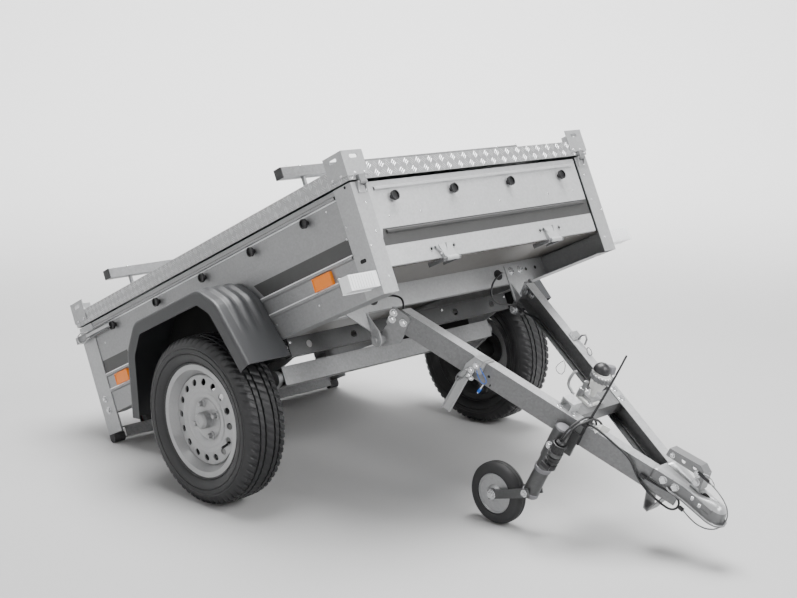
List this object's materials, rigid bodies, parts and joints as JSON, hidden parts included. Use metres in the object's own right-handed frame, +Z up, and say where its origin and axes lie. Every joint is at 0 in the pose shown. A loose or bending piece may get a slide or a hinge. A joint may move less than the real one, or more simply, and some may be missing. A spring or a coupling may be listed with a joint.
{
  "type": "utility trailer",
  "caption": "Small tipping box trailer with a folding V drawbar, lid, drop boards, mudguards and a jockey wheel, standing tipped back on its rear feet.",
  "frame": {"origin": "on the ground under the middle of the whole trailer", "axes": "+X forwards to the coupling, +Y to the trailer's left, +Z up"},
  "size_m": [2.4082, 1.441, 1.1314],
  "materials": {
    "black_plastic": "moulded",
    "cable": "cable sheath",
    "galvanised": "galvanised zinc sheet",
    "galvanised_dark": "weathered hot-dip zinc",
    "guard": "textured",
    "hub": "zinc-coated",
    "jack": "enamel",
    "lamp_red": "red lens",
    "lamp_white": "clear lens",
    "lanyard": "blue cord",
    "plywood": "film-faced board",
    "reflector": "orange prism",
    "rim": "silver enamel",
    "rubber": "matt",
    "tread_plate": "tread plate",
    "tyre": "tread rubber",
    "wire": "steel rope",
    "zinc": "bright zinc"
  },
  "bodies": {
    "box": {"axle": "galvanised_dark", "board_hinges": "galvanised", "cross_member_front": "galvanised", "cross_member_middle": "galvanised_dark", "floor": "plywood", "grommets": "black_plastic", "hinge_plates": "galvanised_dark", "lead_left_loop": "cable", "lead_right_loop": "cable", "lid_hinges": "galvanised", "mudguard_left": "guard", "mudguard_right": "guard", "position_lamps": "lamp_white", "posts_front": "galvanised", "posts_rear": "galvanised", "rear_beam": "galvanised_dark", "rear_feet": "rubber", "rear_lamps": "lamp_red", "side_knobs": "black_plastic", "side_panel_left": "galvanised", "side_panel_right": "galvanised", "side_reflectors": "reflector", "swing_arms": "galvanised_dark", "tail_latches": "zinc"},
    "wheel_right": {"tyre_right": "tyre", "rim_right": "rim", "hub_right": "hub"},
    "wheel_left": {"tyre_left": "tyre", "rim_left": "rim", "hub_left": "hub"},
    "lid": {"crossbars": "galvanised", "lid": "tread_plate", "lid_knuckles": "galvanised", "lid_lugs": "tread_plate"},
    "front_board": {"board_knobs": "black_plastic", "front_board": "galvanised"},
    "tailgate": {"tailgate": "galvanised"},
    "drawbar": {"cable_clips": "black_plastic", "coupling": "zinc", "coupling_handle": "zinc", "drawbar_beams": "galvanised", "drawbar_brackets": "galvanised", "drawbar_tie": "galvanised", "jack": "jack", "jack_cap": "jack", "jockey_clamp": "zinc", "lead_left": "cable", "lead_right": "cable", "pin_lanyard": "lanyard", "plug": "black_plastic", "plug_lead_front": "black_plastic", "plug_lead_rear": "black_plastic", "safety_cable": "cable", "safety_rope": "wire", "strap_foot": "galvanised", "tip_locks": "zinc"},
    "jockey_leg": {"jockey_leg": "zinc"},
    "jockey_fork": {"jockey_fork": "zinc"},
    "jockey_wheel": {"jockey_rim": "zinc", "jockey_tyre": "rubber"}
  },
  "joints": [
    {"name": "wheel_right_spin", "type": "hinge", "parent": "box", "child": "wheel_right", "pos_m": [-0.24097, -0.643, 0.267], "axis": [0, 1, 0], "continuous": true},
    {"name": "wheel_left_spin", "type": "hinge", "parent": "box", "child": "wheel_left", "pos_m": [-0.24097, 0.643, 0.267], "axis": [0, 1, 0], "continuous": true},
    {"name": "drawbar_fold", "type": "hinge", "parent": "box", "child": "drawbar", "pos_m": [0.17498, 0, 0.53739], "axis": [0, 1, 0], "range_deg": [-51.95, 0], "deforming": ["lead_left_loop", "lead_right_loop"]},
    {"name": "lid_lift", "type": "hinge", "parent": "box", "child": "lid", "pos_m": [0.28324, 0, 1.04456], "axis": [0, 1, 0], "range_deg": [0, 75]},
    {"name": "front_board_drop", "type": "hinge", "parent": "box", "child": "front_board", "pos_m": [0.39138, 0, 0.80812], "axis": [0, 1, 0], "range_deg": [0, 90]},
    {"name": "tailgate_drop", "type": "hinge", "parent": "box", "child": "tailgate", "pos_m": [-1.04838, 0, 0.14292], "axis": [0, -1, 0], "range_deg": [0, 90]},
    {"name": "jockey_leg_slide", "type": "slide", "parent": "drawbar", "child": "jockey_leg", "axis": [0.4563, 0, 0.8898], "range_m": [0, 0.1]},
    {"name": "jockey_fork_fold", "type": "hinge", "parent": "jockey_leg", "child": "jockey_fork", "pos_m": [0.64847, -0.168, 0.13049], "axis": [0, 1, 0], "range_deg": [0, 42]},
    {"name": "jockey_wheel_spin", "type": "hinge", "parent": "jockey_fork", "child": "jockey_wheel", "pos_m": [0.52313, -0.168, 0.096], "axis": [0, 1, 0], "continuous": true}
  ]
}
